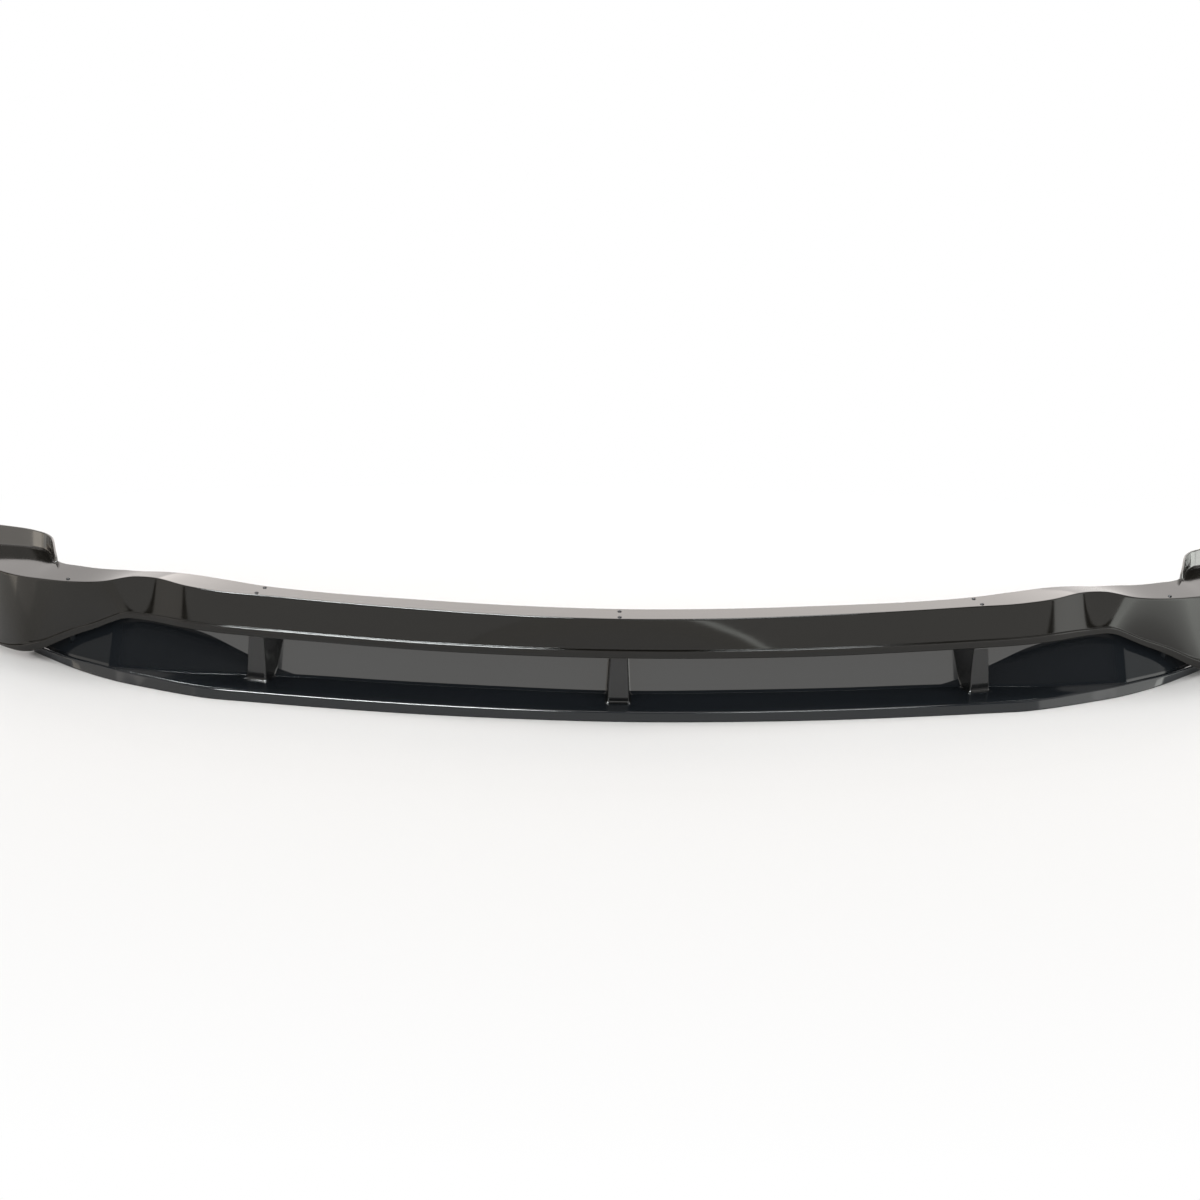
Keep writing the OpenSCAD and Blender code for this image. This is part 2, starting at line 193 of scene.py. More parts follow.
def grid_faces(rows: int, columns: int) -> Array:
    """Quads of a grid whose rows are closed loops: point (j, i), (j+1, i), (j+1, i+1), (j, i+1)."""
    j, i = np.meshgrid(np.arange(rows - 1), np.arange(columns), indexing="ij")
    nxt = (i + 1) % columns
    near, far = j * columns, (j + 1) * columns
    return np.stack([near + i, far + i, far + nxt, near + nxt], -1).reshape(-1, 4)


def paired_caps(rows: int, columns: int) -> Array:
    """Quads that close both ends of a loft by joining loop point i with its partner columns-1-i."""
    i = np.arange(columns // 2 - 1)
    first = np.stack([i, i + 1, columns - 2 - i, columns - 1 - i], -1)
    return np.concatenate([first, first[:, ::-1] + (rows - 1) * columns])


def fan_caps(rows: int, columns: int) -> Array:
    """Triangles that close both ends of a stack of convex loops round one added centre point each."""
    i = np.arange(columns)
    nxt, centre = (i + 1) % columns, rows * columns
    low = np.stack([i, nxt, np.full(columns, centre)], -1)
    high = np.stack([nxt, i, np.full(columns, centre + 1)], -1)
    high[:, :2] += (rows - 1) * columns
    return np.concatenate([low, high])


@dataclass
class Shell:
    """Points in millimetres with quads or triangles, outward facing once settled."""

    points: Array
    faces: list[Array]

    def settled(self) -> "Shell":
        """Turns all faces over if they enclose a negative volume (sum of a . b x c over six)."""
        total = 0.0
        for block in self.faces:
            p = self.points[block]
            for n in range(1, block.shape[1] - 1):
                total += np.einsum("ij,ij->", p[:, 0], np.cross(p[:, n], p[:, n + 1]))
        return self if total > 0 else Shell(self.points, [b[:, ::-1] for b in self.faces])

    def mirrored(self) -> "Shell":
        """The same shell on the other side of the centre line."""
        return Shell(self.points * (-1, 1, 1), [b[:, ::-1] for b in self.faces])


def loft(x: Array, loops: Array) -> Shell:
    """Carries closed (y, z) loops along X and closes both ends."""
    rows, columns, _ = loops.shape
    along = np.repeat(x, columns)
    points = np.column_stack([along, loops.reshape(-1, 2)])
    return Shell(points, [grid_faces(rows, columns), paired_caps(rows, columns)]).settled()


def stack(z: Array, loops: Array) -> Shell:
    """Stacks closed (x, y) loops at heights z and closes bottom and top with fans."""
    rows, columns, _ = loops.shape
    points = np.column_stack([loops.reshape(-1, 2), np.repeat(z, columns)])
    ends = np.array([[*loops[0].mean(axis=0), z[0]], [*loops[-1].mean(axis=0), z[-1]]])
    points = np.concatenate([points, ends])
    return Shell(points, [grid_faces(rows, columns), fan_caps(rows, columns)]).settled()


def make_object(name: str, shells: list[Shell]) -> bpy.types.Object:
    """Puts shells into one smooth-shaded mesh object at the origin.

    Args:
        name: object and mesh name.
        shells: closed shells in millimetres.

    Returns:
        The object, linked to the scene.
    """
    points, loops, sizes, base = [], [], [], 0
    for shell in shells:
        points.append(shell.points * MM)
        for block in shell.faces:
            loops.append((block + base).ravel())
            sizes.append(np.full(len(block), block.shape[1]))
        base += len(shell.points)
    verts, loop, size = np.concatenate(points), np.concatenate(loops), np.concatenate(sizes)
    mesh = bpy.data.meshes.new(name)
    mesh.vertices.add(len(verts))
    mesh.vertices.foreach_set("co", verts.ravel())
    mesh.loops.add(len(loop))
    mesh.loops.foreach_set("vertex_index", loop.astype(np.int32))
    mesh.polygons.add(len(size))
    mesh.polygons.foreach_set("loop_start", np.concatenate([[0], np.cumsum(size)[:-1]]).astype(np.int32))
    mesh.polygons.foreach_set("use_smooth", np.ones(len(size), dtype=bool))
    mesh.update(calc_edges=True)
    mesh.validate()
    obj = bpy.data.objects.new(name, mesh)
    bpy.context.scene.collection.objects.link(obj)
    return obj


# Finishes


class Graph:
    """A material's node tree with short calls to add and join nodes."""

    def __init__(self, name: str) -> None:
        """Starts an empty material of that name."""
        self.material = bpy.data.materials.new(name)
        self.material.use_nodes = True
        self.tree = self.material.node_tree
        self.tree.nodes.clear()

    def add(self, kind: str, inputs: dict[str, object] | None = None, **settings: object) -> bpy.types.Node:
        """Adds a node.

        Args:
            kind: Blender's node type.
            inputs: socket name to a value, or to a socket that feeds it.
            settings: the node's own properties.

        Returns:
            The node.
        """
        node = self.tree.nodes.new(kind)
        for key, value in settings.items():
            setattr(node, key, value)
        for key, value in (inputs or {}).items():
            if isinstance(value, bpy.types.NodeSocket):
                self.tree.links.new(value, node.inputs[key])
            else:
                node.inputs[key].default_value = value
        return node

    def ramp(
        self, source: bpy.types.NodeSocket, low: float, high: float, out_low: float, out_high: float
    ) -> bpy.types.NodeSocket:
        """Maps a value linearly from one range to another, clamped.

        Args:
            source: the value.
            low: value that gives out_low.
            high: value that gives out_high.
            out_low: result at and below low.
            out_high: result at and above high.

        Returns:
            The socket with the result.
        """
        node = self.add(
            "ShaderNodeMapRange",
            {"Value": source, "From Min": low, "From Max": high, "To Min": out_low, "To Max": out_high},
        )
        return node.outputs["Result"]


@dataclass(frozen=True)
class GlossMoulding:
    """Gloss black moulded plastic: faint mould waves, fine orange peel, dust in the gloss.

    The clear gloss has the strength mirror. Below the height quiet_height, in millimetres,
    it is quiet_mirror. Further from the centre line than quiet_from, in metres, it sinks to
    tip_mirror. These steps paint the reflection: a stronger gloss is a painted highlight and
    a weaker one painted shade, set by place on one plastic. Waves, peel and clouds are noise
    of the given size per metre, and their heights are metres.
    """

    name: str
    colour: tuple[float, float, float] = (0.0075, 0.0068, 0.0055)
    roughness: float = 0.075
    mirror: float = 0.36
    quiet_mirror: float = 0.36
    quiet_height: float = 0.0
    quiet_from: float = 2.0
    tip_mirror: float = 0.08
    wave_height: float = 0.00013
    wave_size: float = 5.0
    wave_stretch: tuple[float, float, float] = (1.0, 1.0, 1.0)
    peel_height: float = 0.0000045
    peel_size: float = 900.0
    cloud_size: float = 34.0
    smoother: float = 0.8
    rougher: float = 1.35
    quiet_blend: float = 0.0004
    tip_blend: float = 0.02

    def material(self) -> bpy.types.Material:
        """Builds the material on object coordinates."""
        g = Graph(self.name)
        place = g.add("ShaderNodeTexCoord").outputs["Object"]
        drawn = g.add("ShaderNodeVectorMath", {0: place, 1: self.wave_stretch}, operation="MULTIPLY")
        waves = g.add(
            "ShaderNodeTexNoise", {"Vector": drawn.outputs[0], "Scale": self.wave_size, "Detail": 1.0}
        )
        peel = g.add("ShaderNodeTexNoise", {"Vector": place, "Scale": self.peel_size, "Detail": 1.0})
        cloud = g.add(
            "ShaderNodeTexNoise",
            {"Vector": place, "Scale": self.cloud_size, "Detail": 6.0, "Roughness": 0.7},
        )
        smooth, rough_end = self.roughness * self.smoother, self.roughness * self.rougher
        rough = g.ramp(cloud.outputs["Fac"], 0.3, 0.75, smooth, rough_end)
        # Painted reflection: above quiet_height the gloss has the strength mirror and below it
        # quiet_mirror, a stronger and a weaker reflection on one plastic.
        split = g.add("ShaderNodeSeparateXYZ", {0: place}).outputs
        top = self.quiet_height * MM
        above = g.ramp(split["Z"], top - self.quiet_blend, top + self.quiet_blend, 0.0, 1.0)
        # Painted shade: further out than quiet_from the gloss sinks to its tip level, so the ends reflect
        # less.
        out = g.add("ShaderNodeMath", {0: split["X"]}, operation="ABSOLUTE").outputs[0]
        edge = self.quiet_from
        gloss = g.ramp(out, edge, edge + self.tip_blend, self.mirror, self.tip_mirror)
        mirror = g.add("ShaderNodeMix", {0: above, 2: self.quiet_mirror, 3: gloss}).outputs[0]
        low = g.add(
            "ShaderNodeBump",
            {"Height": waves.outputs["Fac"], "Strength": 1.0, "Distance": self.wave_height},
        )
        fine = g.add(
            "ShaderNodeBump",
            {"Height": peel.outputs["Fac"], "Normal": low.outputs["Normal"], "Distance": self.peel_height},
        )
        shader = g.add(
            "ShaderNodeBsdfPrincipled",
            {
                "Base Color": (*self.colour, 1.0),
                "Roughness": rough,
                "IOR": 1.52,
                "Specular IOR Level": mirror,
                "Normal": fine.outputs["Normal"],
            },
        )
        g.add("ShaderNodeOutputMaterial", {"Surface": shader.outputs["BSDF"]})
        return g.material


@dataclass(frozen=True)
class BlackSteel:
    """Black coated screw steel with a slightly mottled sheen."""

    name: str = "black_coated_steel"
    colour: tuple[float, float, float] = (0.035, 0.035, 0.038)
    grain_size: float = 1400.0
    grain_height: float = 0.00002
    metallic: float = 0.85

    def material(self) -> bpy.types.Material:
        """Builds the material on object coordinates."""
        g = Graph(self.name)
        place = g.add("ShaderNodeTexCoord").outputs["Object"]
        grain = g.add("ShaderNodeTexNoise", {"Vector": place, "Scale": self.grain_size, "Detail": 4.0})
        rough = g.ramp(grain.outputs["Fac"], 0.3, 0.7, 0.28, 0.45)
        bump = g.add("ShaderNodeBump", {"Height": grain.outputs["Fac"], "Distance": self.grain_height})
        shader = g.add(
            "ShaderNodeBsdfPrincipled",
            {
                "Base Color": (*self.colour, 1.0),
                "Metallic": self.metallic,
                "Roughness": rough,
                "Normal": bump.outputs["Normal"],
            },
        )
        g.add("ShaderNodeOutputMaterial", {"Surface": shader.outputs["BSDF"]})
        return g.material


class Finish(Enum):
    """The finishes of the part."""

    LIP = GlossMoulding("gloss_black_lip")
    # Painted light: the tray's colour is raised to lift its floor out of the shade under the lip, its full
    # gloss above quiet_height is a painted highlight on the back wall, and the gloss that sinks beyond
    # quiet_from is painted shade at the ends.
    TRAY = GlossMoulding(
        "gloss_black_tray",
        colour=(0.0120, 0.0146, 0.0178),
        mirror=1.0,
        quiet_mirror=0.36,
        quiet_from=0.595,
        quiet_height=11.2,
        wave_height=0.0003,
        wave_stretch=(3.0, 0.6, 0.6),
    )
    FINS = GlossMoulding("gloss_black_fins", colour=(0.0080, 0.0085, 0.0090), mirror=0.60)
    # Painted light: the tabs are the lip moulding's own plastic, given a lighter colour and full gloss so
    # that they read lighter than the lip.
    TABS = GlossMoulding(
        "gloss_black_tabs", colour=(0.0160, 0.0140, 0.0125), roughness=0.12, mirror=1.0
    )
    SCREWS = BlackSteel()


# The two mouldings, the fins and the outer bosses


# Depth of the whole part, from the tray's front edge to the ends of the wings
DEPTH = 357.1


@dataclass
class UpperLip:
    """The upper moulding: folded hem, bead strip, fascia, top flange, legs, wings and tabs.

    The corner radii go round the wall section as section() lists its corners.
    """

    wall: float = 3.0
    slot_top: float = 65.0
    lip_height: float = 111.0
    strip_height: float = 9.5
    ledge: float = 3.0
    hem: float = 6.0
    flange_depth: float = 37.0
    fascia_back: float = 5.5
    leg_clearance: float = 8.0
    shoulder_rise: float = 7.0
    strip_fold: float = 1.5
    corner_radii: tuple[float, ...] = (0.5, 1.3, 2.3, 0.6, 1.4, 0.7, 0.7, 0.4, 0.4, 0.4, 0.4, 0.5)
    tab_height: float = 20.0
    tab_growth: float = 0.3
    tab_low: float = 0.12
    tab_start: float = 2.82
    tab_turn: float = 22.0
    tab_dense: float = 24.0
    tab_lean: float = 0.28
    tab_foot: float = 4.5
    tab_foot_share: float = 0.6
    tab_edge: float = 1.1
    overhang: float = 32.6
    crown: float = 0.4
    stations: int = 680

    def __post_init__(self) -> None:
        """Lays out the rails of the section's landmarks."""
        y0 = self.overhang - DEPTH / 2
        self.front = Rail(
            ((0, 0), (0.28, 4.8), (0.56, 18.3), (0.84, 41), (1, 55.5), (1.31, 67), (1.56, 79.5),
             (1.81, 96.5), (2.07, 109.5), (2.33, 121.5), (2.6, 131.5), (2.87, 139.5), (3, 144.5),
             (3.18, 156), (3.33, 168), (3.66, 205), (4, 252)), y0)
        self.top = Rail(
            ((0, 0), (0.28, 7.5), (0.56, 27), (0.84, 52.5), (1, 69), (1.31, 78.5), (1.56, 90),
             (1.81, 108), (2, 113.5), (2.2, 116.5), (2.33, 121), (2.47, 127), (2.6, 134), (2.8, 148),
             (3, 162), (3.18, 174), (3.33, 186), (3.66, 221), (4, 266)), y0 + self.fascia_back)
        self.rear = Rail(
            ((0, 0), (0.28, 7), (0.56, 24.5), (0.84, 48), (1, 69), (1.31, 91), (1.56, 106.5),
             (1.81, 113.5), (2, 114), (2.2, 125), (2.47, 142), (2.6, 152.5), (2.73, 164), (2.83, 180),
             (2.92, 213), (3.01, 232), (3.18, 246), (3.6, 267), (4, 282)),
            y0 + self.fascia_back + self.flange_depth, ease=3.0)
        self.front_z = Rail(
            ((0, 1), (1.1, 1), (1.56, 1.02), (1.87, 1.045), (2.07, 1.02), (2.2, 0.87), (2.33, 0.71),
             (2.47, 0.56), (2.6, 0.41), (2.73, 0.24), (2.87, 0.08), (3, 0.015), (3.2, 0), (4, 0)),
            self.leg_clearance, self.slot_top - self.leg_clearance, ease=5.0)
        self.top_z = Rail(
            ((0, 0), (1.1, 0), (1.35, 0.2), (1.56, 0.5), (1.81, 1), (1.94, 1), (2.07, 0.57), (2.2, -0.14),
             (2.33, -0.57), (2.47, -0.86), (2.73, -1.28), (3, -1.57), (3.33, -1.71), (4, -2)),
            self.lip_height, self.shoulder_rise)
        self.rear_z = Rail(
            ((0, 0), (1.31, 0), (1.81, 0.2), (2, 0.25), (2.33, -0.28), (2.6, -0.57), (2.83, -0.86),
             (3.2, -1), (4, -1.7)), self.lip_height, self.shoulder_rise)
        self.strip = Rail(
            ((0, 1), (1.56, 1), (1.9, 0.82), (2.33, 0.82), (2.6, 1), (2.87, 1.1), (3, 0.95), (3.18, 0.55),
             (3.33, 0.32), (4, 0.32)), 0.0, self.strip_height)

    def section(self, x: Array) -> Array:
        """Wall sections at distances x, as closed loops of (y, z)."""
        y, z, h = self.front.at(x), self.front_z.at(x), self.strip.at(x)
        k = self.wall * np.hypot(1.0, self.top.steep(x))
        top = np.column_stack([self.top.at(x), self.top_z.at(x)])
        rear = np.column_stack([self.rear.at(x), self.rear_z.at(x)])
        foot = np.column_stack([y + self.ledge * h / self.strip_height, z + h + 0.4])
        up = (top - foot) / np.linalg.norm(top - foot, axis=1, keepdims=True)
        inside = top[:, 0] + k - self.wall * up[:, 0] / up[:, 1]
        inner_top = np.column_stack([inside, top[:, 1] - self.wall])
        corners = [
            np.column_stack([y + k + self.hem, z]),
            np.column_stack([y, z]),
            np.column_stack([y, z + h]),
            foot,
            top,
            rear,
            rear - (0, self.wall),
            inner_top,
            foot + np.column_stack([k, 0 * k]),
            np.column_stack([y + k, z + np.maximum(h - self.strip_fold, self.wall + 0.2)]),
            np.column_stack([y + k, z + self.wall]),
            np.column_stack([y + k + self.hem, z + self.wall]),
        ]
        radii = np.array(self.corner_radii)
        bulge = np.zeros(len(corners))
        bulge[3], bulge[7] = self.crown, -self.crown
        return rounded_loop(np.stack(corners, axis=1), radii, bulge)

    def tab(self) -> Shell:
        """The upright tab at the rear of the right wing, with a hollow fillet at its foot."""
        start = MARKS.distance(self.tab_start)
        rise = np.linspace(0, 1, 60)
        plain = np.linspace(start + self.tab_dense + 1, MARKS.end, 80)
        x = np.concatenate([start + self.tab_dense * rise**2, plain])
        s = np.clip((x - start) / self.tab_turn, 0, 1)
        full = self.tab_height * (1 + self.tab_growth * (x - MARKS.leg) / (MARKS.end - MARKS.leg))
        h = full * (self.tab_low + (1 - self.tab_low) * np.sqrt(1 - (1 - s) ** 2))
        y, z = self.rear.at(x), self.rear_z.at(x)
        k = self.wall * np.hypot(1.0, np.minimum(2.0, self.rear.steep(x)))
        foot_r = np.minimum(self.tab_foot, self.tab_foot_share * h)
        foot_y = y - k - self.tab_lean * h
        corners = [
            np.column_stack([foot_y - foot_r, z - 0.6]),
            np.column_stack([foot_y - foot_r, z + 0.02]),
            np.column_stack([foot_y, z + 0.02]),
            np.column_stack([y - k, z + h]),
            np.column_stack([y, z + h]),
            np.column_stack([y, z - 1.0]),
        ]
        sharp, edge = 0 * h + 0.05, 0 * h + self.tab_edge
        radii = np.column_stack([sharp, sharp, foot_r * 0.95, edge, edge, 2 * sharp])
        return loft(x, rounded_loop(np.stack(corners, axis=1), radii, np.zeros(len(corners))))

    def build(self) -> None:
        """Makes the moulding and its two tabs, which stand for their CAD node together."""
        x = np.linspace(-MARKS.end, MARKS.end, self.stations)
        obj = make_object("lip_moulding", [loft(x, self.section(x))])
        dress(obj, Finish.LIP)
        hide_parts("upper_lip")
        tab = self.tab()
        tabs = make_object("lip_tabs", [tab, tab.mirrored()])
        dress(tabs, Finish.TABS)
        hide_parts("upper_lip")


@dataclass
class LowerSplitter:
    """The lower moulding: rolled front edge, floor, end facets, back wall and fixing flange.

    The corner radii go round the wall section as section() lists its corners.
    """

    lip: UpperLip
    wall: float = 3.0
    half: float = 735.0
    nose_height: float = 11.0
    nose_back: float = 3.5
    floor: float = 8.5
    floor_depth: float = 67.5
    floor_margin: float = 10.0
    roll_top: float = 5.0
    roll_end: float = 9.0
    wall_lean: float = 0.3
    facet_rise: float = 1.38
    full_facet_blend: float = 40.0
    rim_depth: float = 28.0
    rim_taper: float = 0.7
    rim_gap: float = 1.0
    hole_share: float = 0.55
    corner_radii: tuple[float, ...] = (
        1.0, 2.2, 3.0, 3.0, 0.3, 1.2, 0.9, 0.6, 0.6, 0.5, 1.0, 0.5, 0.3, 0.3, 0.4, 0.6
    )
    stations: int = 508
    fixing_holes: tuple[float, ...] = (120.0, 300.0, 520.0)
    fixing_diameter: float = 6.5
    drill_down: float = 8.0
    drill_up: float = 4.0

    def __post_init__(self) -> None:
        """Lays out the rails of the section's landmarks."""
        y0 = -DEPTH / 2
        self.nose = Rail(
            ((0, 0), (0.28, 5), (0.56, 17), (0.84, 34), (1, 46), (1.31, 55), (1.56, 69), (1.81, 87.5),
             (2.07, 107.5), (2.33, 129.5), (2.6, 153), (2.73, 167.5), (2.87, 184), (3, 201)),
            y0 + self.nose_back)
        self.front = Rail(
            ((0, 0), (0.28, 4.5), (0.56, 15), (0.84, 32), (1, 43.5), (1.31, 52.5), (1.56, 66.5), (1.81, 83),
             (2.07, 101.5), (2.33, 125), (2.6, 154.5), (2.73, 171), (2.87, 188.5), (3, 206)), y0)
        self.back = Rail(
            ((0, 0), (0.33, 9), (0.6, 20.5), (0.9, 37.5), (1.15, 52), (1.56, 64), (2, 80), (3, 113)),
            y0 + self.floor_depth)
        self.facet = Rail(
            ((0, 0), (0.33, 9), (0.6, 20.5), (0.9, 37.5), (1.12, 43), (1.465, 44.5), (2, 58), (3, 91)),
            y0 + self.floor_depth)

    def rim_height(self, x: Array) -> Array:
        """Height of the fixing flange, just under the lip's lower edge."""
        return np.maximum(self.floor + 4, self.lip.front_z.at(x) - self.rim_gap)

    def facet_foot(self, x: Array) -> Array:
        """Plan line where the floor turns up."""
        return np.maximum(self.facet.at(x), self.nose.at(x) + self.floor_margin)

    def facet_top(self, x: Array) -> Array:
        """Height at which the end facet meets the leaning back wall.

        Beyond the shoulders the facet grows until it reaches the rim.

        Args:
            x: signed distances from the centre line.

        Returns:
            Heights, at most 2 mm under the rim.
        """
        gap = self.back.at(x) - self.facet_foot(x)
        beyond = (np.abs(x) - MARKS.shoulder) / self.full_facet_blend
        full = np.clip(beyond, 0, 1) * self.lip.slot_top
        rise = np.maximum(full, gap / (1 / self.facet_rise - self.wall_lean))
        return np.minimum(self.rim_height(x) - 2, self.floor + 3 + rise)

    def wall_y(self, x: Array, z: Array | float) -> Array:
        """Front of the back wall at height z: up the facet first, then along the lean."""
        top = self.facet_top(x)
        return self.facet_foot(x) + (top - self.floor) / self.facet_rise + (z - top) * self.wall_lean

    def front_y(self, x: Array, z: Array) -> Array:
        """Visible surface behind the floor at height z: the facet up to its top, then the wall."""
        top = self.facet_top(x)
        rise = (np.minimum(z, top) - self.floor) / self.facet_rise
        return self.facet_foot(x) + rise + np.maximum(0, z - top) * self.wall_lean

    def rim(self, x: Array) -> Array:
        """Depth of the fixing flange, which narrows towards the ends."""
        out = np.maximum(0, np.abs(x) - MARKS.shoulder) / (self.half - MARKS.shoulder)
        return self.rim_depth * (1 - self.rim_taper * out**2)

    def section(self, x: Array) -> Array:
        """Wall sections at distances x, as closed loops of (y, z)."""
        yf, yn = self.front.at(x), self.nose.at(x)
        k = self.wall * np.hypot(1.0, self.nose.steep(x))
        ya, zb, zc = self.facet_foot(x), self.facet_top(x), self.rim_height(x)
        yb, yc = self.wall_y(x, zb), self.wall_y(x, zc)
        yd = yc + self.rim(x)
        flat, end, under = 0 * x, yn + self.roll_end, self.floor - self.wall
        corners = [
            (yf, flat),
            (yn, flat + self.nose_height),
            (yn + self.roll_top, flat + self.nose_height - 0.3),
            (end, flat + self.floor),
            (ya, flat + self.floor),
            (yb, zb),
            (yc, zc),
            (yd, zc),
            (yd, zc - self.wall),
            (yc + k, zc - self.wall),
            (np.minimum(yb + 1.2 * k, yc + k - 0.2), zb - 1),
            (ya + 0.6 * k, flat + under),
            (end, flat + under),
            (end - 1, flat + under),
            (yn + k + 0.6, flat + under + 0.5),
            (yf + k, flat),
        ]
        points = np.stack([np.column_stack(c) for c in corners], axis=1)
        return rounded_loop(points, np.array(self.corner_radii), np.zeros(len(corners)))

    def build(self) -> None:
        """Makes the tray as one object that stands for its CAD node, with its bolt holes cut."""
        x = np.linspace(-self.half, self.half, self.stations)
        obj = make_object("splitter_tray", [loft(x, self.section(x))])
        self.cut_fixing_holes(obj)
        dress(obj, Finish.TRAY)
        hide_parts("lower_splitter")

    def cut_fixing_holes(self, obj: bpy.types.Object) -> None:
        """Cuts the round holes that bolt the flange to the car, with a boolean that is then applied."""
        at = np.array([side * x for x in self.fixing_holes for side in (-1, 1)])
        z = self.rim_height(at)
        y = self.wall_y(at, z) + self.hole_share * self.rim(at)
        turn = np.linspace(0, 2 * np.pi, 48, endpoint=False)
        ring = self.fixing_diameter / 2 * np.column_stack([np.cos(turn), np.sin(turn)])
        drills = []
        for a, b, h in zip(at, y, z):
            span = np.array([h - self.drill_down, h + self.drill_up])
            drills.append(stack(span, np.stack([ring + (a, b)] * 2)))
        cutter = make_object("drills", drills)
        cut = obj.modifiers.new("holes", "BOOLEAN")
        cut.object, cut.operation, cut.solver = cutter, "DIFFERENCE", "EXACT"
        graph = bpy.context.evaluated_depsgraph_get()
        mesh = bpy.data.meshes.new_from_object(obj.evaluated_get(graph))
        obj.modifiers.clear()
        obj.data = mesh
        bpy.data.objects.remove(cutter)


@dataclass
class Fin:
    """A filleted fin between floor and lip, with the screw boss that it carries."""

    tray: LowerSplitter
    side: int
    top_width: float = 19.0
    foot_width: float = 26.0
    turn: float = 15.0
    face_gap: float = 4.0
    face_lean: float = 5.0
    fillet: float = 4.0
    deep: float = 20.0
    root: float = 5.5
    flare: float = 2.6
    edge_round: float = 1.9
    spread: float = 12.0
    boss_width: float = 9.6
    screw_out: float = 4.5
    screw_in: float = 6.6
    screw_gap: float = 21.0
    boss_behind: float = 5.0
    boss_round: float = 1.2
    boss_gap: float = 0.4
    boss_root: float = 4.0
    boss_step: float = 6.0
    seat: float = 0.2

    def face_y(self) -> float:
        """Plan position of the fin's face."""
        return float(self.tray.lip.front.at(np.array([self.side * MARKS.fin]))[0]) + self.face_gap

    def place(self, local: Array) -> Array:
        """Turns and moves local (across, back) points to the fin's place."""
        a = math.radians(self.side * self.turn)
        turn = np.array([[math.cos(a), math.sin(a)], [-math.sin(a), math.cos(a)]])
        return local @ turn + (self.side * MARKS.fin, self.face_y())

    def body(self) -> Shell:
        """The fin: level outlines whose foot flares out along a quarter circle."""
        z0, z1 = self.tray.floor, self.tray.lip.slot_top - self.seat
        flare = self.flare
        rise = flare * (1 - np.cos(np.linspace(0, np.pi / 2, 12)))
        z = np.concatenate([[z0 - 1.0], z0 + rise, np.linspace(z0 + flare + 0.4, z1, 14)])
        high = np.clip(z - z0, 0, flare)
        grow = flare - np.sqrt(np.maximum(0, flare**2 - (flare - high) ** 2))
        half = (self.foot_width + (self.top_width - self.foot_width) * (z - z0) / (z1 - z0)) / 2 + grow
        share = np.clip((z - z0) / (z1 - z0), 0, 1)
        face_in = self.face_lean * (3 * share - share**2) / 2
        gain = self.spread * share
        gains = (gain * max(0, -self.side), gain * max(0, self.side))
        t = np.linspace(0, np.pi / 2, 8)
        f, r = self.fillet, self.edge_round
        front = face_in - grow
        nose = [(half - r * (1 - np.cos(a)), front + r * (1 - np.sin(a))) for a in t]
        flanks = []
        for way, wide in zip((1, -1), gains):
            rear = self.wall_depth(way * (half + wide + f), z) + 0.5
            root = [(half + wide + f, rear + np.where(z < z0, 0.5, self.root))]
            hollow = [(half + wide + f * (1 - np.cos(a)), rear - f * (1 - np.sin(a))) for a in t]
            length = rear - f - r - front
            run = [(half + q * wide, front + r + q * length) for q in (0.97, 0.66, 0.33, 0.03)]
            flanks.append(root + hollow[::-1] + run + nose)
        right, left = flanks[0], [(-a, b) for a, b in flanks[1][::-1]]
        face = [(q * (half - r), front) for q in (0.97, 0.5, 0.0, -0.5, -0.97)]
        loops = np.stack([np.column_stack(p) for p in right + face + left], axis=1)
        return stack(z, np.stack([self.place(loop) for loop in loops]))

    def wall_depth(self, across: Array, z: Array) -> Array:
        """Depth behind the face of the tray's wall, for points across the fin at heights z."""
        turn = math.radians(self.side * self.turn)
        x = self.side * MARKS.fin + across * math.cos(turn) - self.deep * math.sin(turn)
        return (self.tray.front_y(x, z) - self.face_y() - across * math.sin(turn)) / math.cos(turn)

    def first_screw(self) -> float:
        """Distance of the front screw behind the fin's face."""
        top = float(self.tray.lip.top.at(np.array([self.side * MARKS.fin]))[0])
        return top + self.screw_in - self.face_y()

    def boss(self) -> Shell:
        """The rounded post that rises inside the lip to its flange."""
        lip = self.tray.lip
        top = lip.lip_height - lip.wall - self.seat
        z = np.array([lip.slot_top - self.boss_root, lip.slot_top + self.boss_step, top])
        first = self.first_screw()
        slope = float(lip.top.steep(np.array([MARKS.fin * abs(self.side)]))[0])
        low = lip.wall + lip.hem + 0.5 - self.face_gap
        inside = first - self.screw_in + lip.wall * math.hypot(1, slope) + self.boss_gap
        front = np.array([low, low + 1, inside])
        rear = first + self.screw_gap + self.boss_behind
        w, out = self.boss_width / 2, self.side * self.screw_out
        corners = np.array([[(out - w, rear), (out - w, f), (out + w, f), (out + w, rear)] for f in front])
        loops = rounded_loop(corners, np.array(self.boss_round), np.array(0.0))
        return stack(z, np.stack([self.place(loop) for loop in loops]))

    def build(self) -> None:
        """Makes the fin, moulded onto the tray."""
        name = {-1: "left", 0: "centre", 1: "right"}[self.side]
        obj = make_object(f"fin_{name}", [self.body(), self.boss()])
        dress(obj, Finish.FINS)
        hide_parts("lower_splitter")


